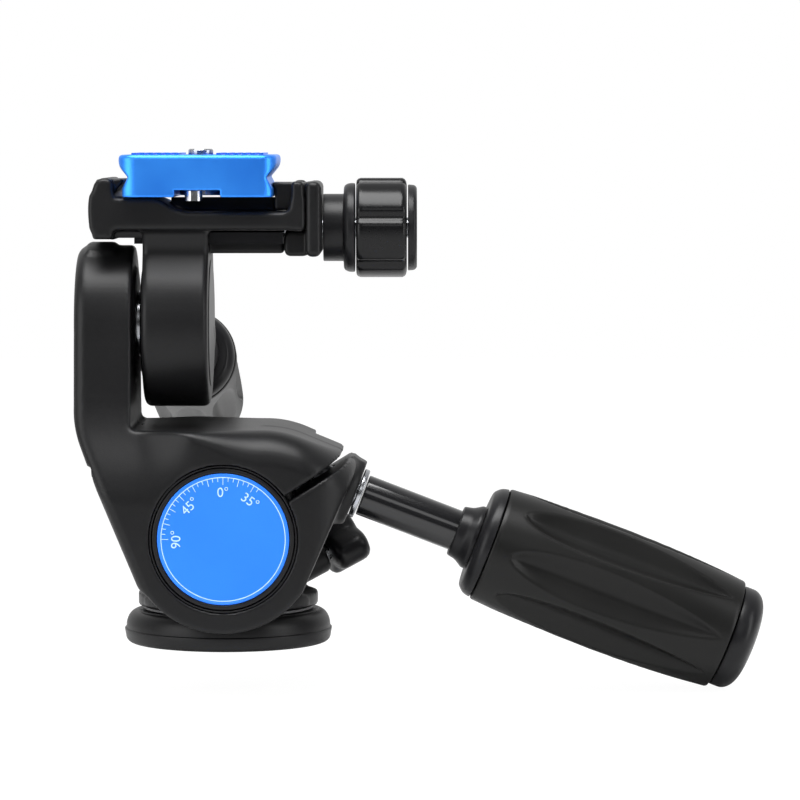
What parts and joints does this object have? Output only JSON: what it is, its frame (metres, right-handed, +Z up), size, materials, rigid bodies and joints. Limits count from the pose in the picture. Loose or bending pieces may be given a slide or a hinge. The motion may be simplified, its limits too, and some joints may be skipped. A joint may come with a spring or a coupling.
{
  "type": "pan tilt head",
  "caption": "Three-way pan tilt head for a tripod: turning base, tilting yoke with a dial, sideways platform with a dovetail clamp and plate, and two telescoping handles.",
  "frame": {"origin": "where the pan axis meets the underside of the base", "axes": "+Z up along the pan axis, +X towards the tilt handle's side, +Y away from the dial"},
  "size_m": [0.1715, 0.1434, 0.1352],
  "materials": {
    "cast_black": "fine satin black powder coat on cast aluminium",
    "plastic_black": "satin black moulded plastic",
    "gloss_black": "gloss black moulded plastic",
    "rubber_black": "matte black moulded rubber",
    "anodised_blue": "fine blasted and blue anodised aluminium",
    "dial_blue": "blue anodised dial with white printed numbers and ticks",
    "chrome_steel": "polished and plated steel",
    "black_steel": "gloss black coated steel tube",
    "brass": "turned brass",
    "nylon": "grey nylon"
  },
  "bodies": {
    "base": {"base_disc": "cast_black", "threaded_insert": "brass", "pan_spindle": "chrome_steel", "pan_nut": "chrome_steel"},
    "pan_body": {"pan_glide_ring": "nylon", "pan_housing": "cast_black", "pan_brake_plunger": "brass", "trunnion_near": "plastic_black", "trunnion_far": "plastic_black", "tie_bolt": "chrome_steel", "tie_nut": "chrome_steel", "tilt_dial": "dial_blue", "far_cover": "plastic_black"},
    "pan_lock": {"pan_lock_screw": "chrome_steel", "pan_lock_knob": "plastic_black"},
    "yoke": {"tilt_yoke": "cast_black", "sleeve_near": "plastic_black", "sleeve_far": "plastic_black", "lateral_spindle": "chrome_steel", "spindle_washer": "chrome_steel", "spindle_cap": "plastic_black"},
    "tilt_handle": {"tilt_washer": "chrome_steel", "tilt_screw": "chrome_steel", "tilt_shaft": "black_steel", "tilt_shaft_stop": "nylon"},
    "tilt_grip": {"tilt_collar": "gloss_black", "tilt_grip_core": "plastic_black", "tilt_grip_rubber": "rubber_black", "tilt_grip_cap": "gloss_black"},
    "platform": {"platform_bracket": "cast_black", "hub_cap": "plastic_black", "lateral_brake_shoe": "brass"},
    "lateral_handle": {"lateral_washer": "chrome_steel", "lateral_screw": "chrome_steel", "lateral_shaft": "black_steel", "lateral_shaft_stop": "nylon"},
    "lateral_grip": {"lateral_collar": "gloss_black", "lateral_grip_core": "plastic_black", "lateral_grip_rubber": "rubber_black", "lateral_grip_cap": "gloss_black"},
    "jaw": {"moving_jaw": "cast_black", "guide_bar": "black_steel"},
    "clamp_knob": {"clamp_screw": "chrome_steel", "clamp_knob_neck": "plastic_black", "clamp_knob": "gloss_black", "clamp_knob_cap": "plastic_black"},
    "plate": {"quick_release_plate": "anodised_blue", "plate_stop_screw": "chrome_steel"},
    "camera_screw": {"camera_screw": "chrome_steel"}
  },
  "joints": [
    {"name": "pan", "type": "hinge", "parent": "base", "child": "pan_body", "pos_m": [0, 0, 0], "axis": [0, 0, 1], "continuous": true},
    {"name": "pan_lock_turn", "type": "hinge", "parent": "pan_body", "child": "pan_lock", "pos_m": [0.0126, 0.0154, 0.0144], "axis": [0.8403, 0.3395, 0.4226], "range_deg": [-180, 180]},
    {"name": "tilt", "type": "hinge", "parent": "pan_body", "child": "yoke", "pos_m": [0, 0, 0.0284], "axis": [0, 1, 0], "range_deg": [-90, 35]},
    {"name": "tilt_handle_turn", "type": "hinge", "parent": "yoke", "child": "tilt_handle", "pos_m": [0.00716, 0, 0.04697], "axis": [0.933, 0, -0.36], "range_deg": [-180, 180]},
    {"name": "tilt_grip_slide", "type": "slide", "parent": "tilt_handle", "child": "tilt_grip", "axis": [0.933, 0, -0.36], "range_m": [-0.022, 0]},
    {"name": "lateral", "type": "hinge", "parent": "yoke", "child": "platform", "pos_m": [0, 0, 0.0798], "axis": [1, 0, 0], "range_deg": [-10, 90]},
    {"name": "lateral_handle_turn", "type": "hinge", "parent": "platform", "child": "lateral_handle", "pos_m": [-0.01235, 0, 0.0798], "axis": [0, 0.9703, -0.2419], "range_deg": [-180, 180]},
    {"name": "lateral_grip_slide", "type": "slide", "parent": "lateral_handle", "child": "lateral_grip", "axis": [0, 0.9703, -0.2419], "range_m": [0, 0.024]},
    {"name": "jaw_slide", "type": "slide", "parent": "platform", "child": "jaw", "axis": [1, 0, 0], "range_m": [0, 0.00375]},
    {"name": "clamp_knob_turn", "type": "hinge", "parent": "jaw", "child": "clamp_knob", "pos_m": [0, 0, 0.1037], "axis": [1, 0, 0], "range_deg": [0, 1085]},
    {"name": "plate_slide", "type": "slide", "parent": "platform", "child": "plate", "axis": [0, 1, 0], "range_m": [-0.01, 0.01]},
    {"name": "camera_screw_turn", "type": "hinge", "parent": "plate", "child": "camera_screw", "pos_m": [-0.0066, 0, 0.116], "axis": [0, 0, 1], "continuous": true}
  ],
  "couplings": [
    {"joint": "clamp_knob_turn", "follows": "jaw_slide", "rad_per_m": 5026.5}
  ]
}
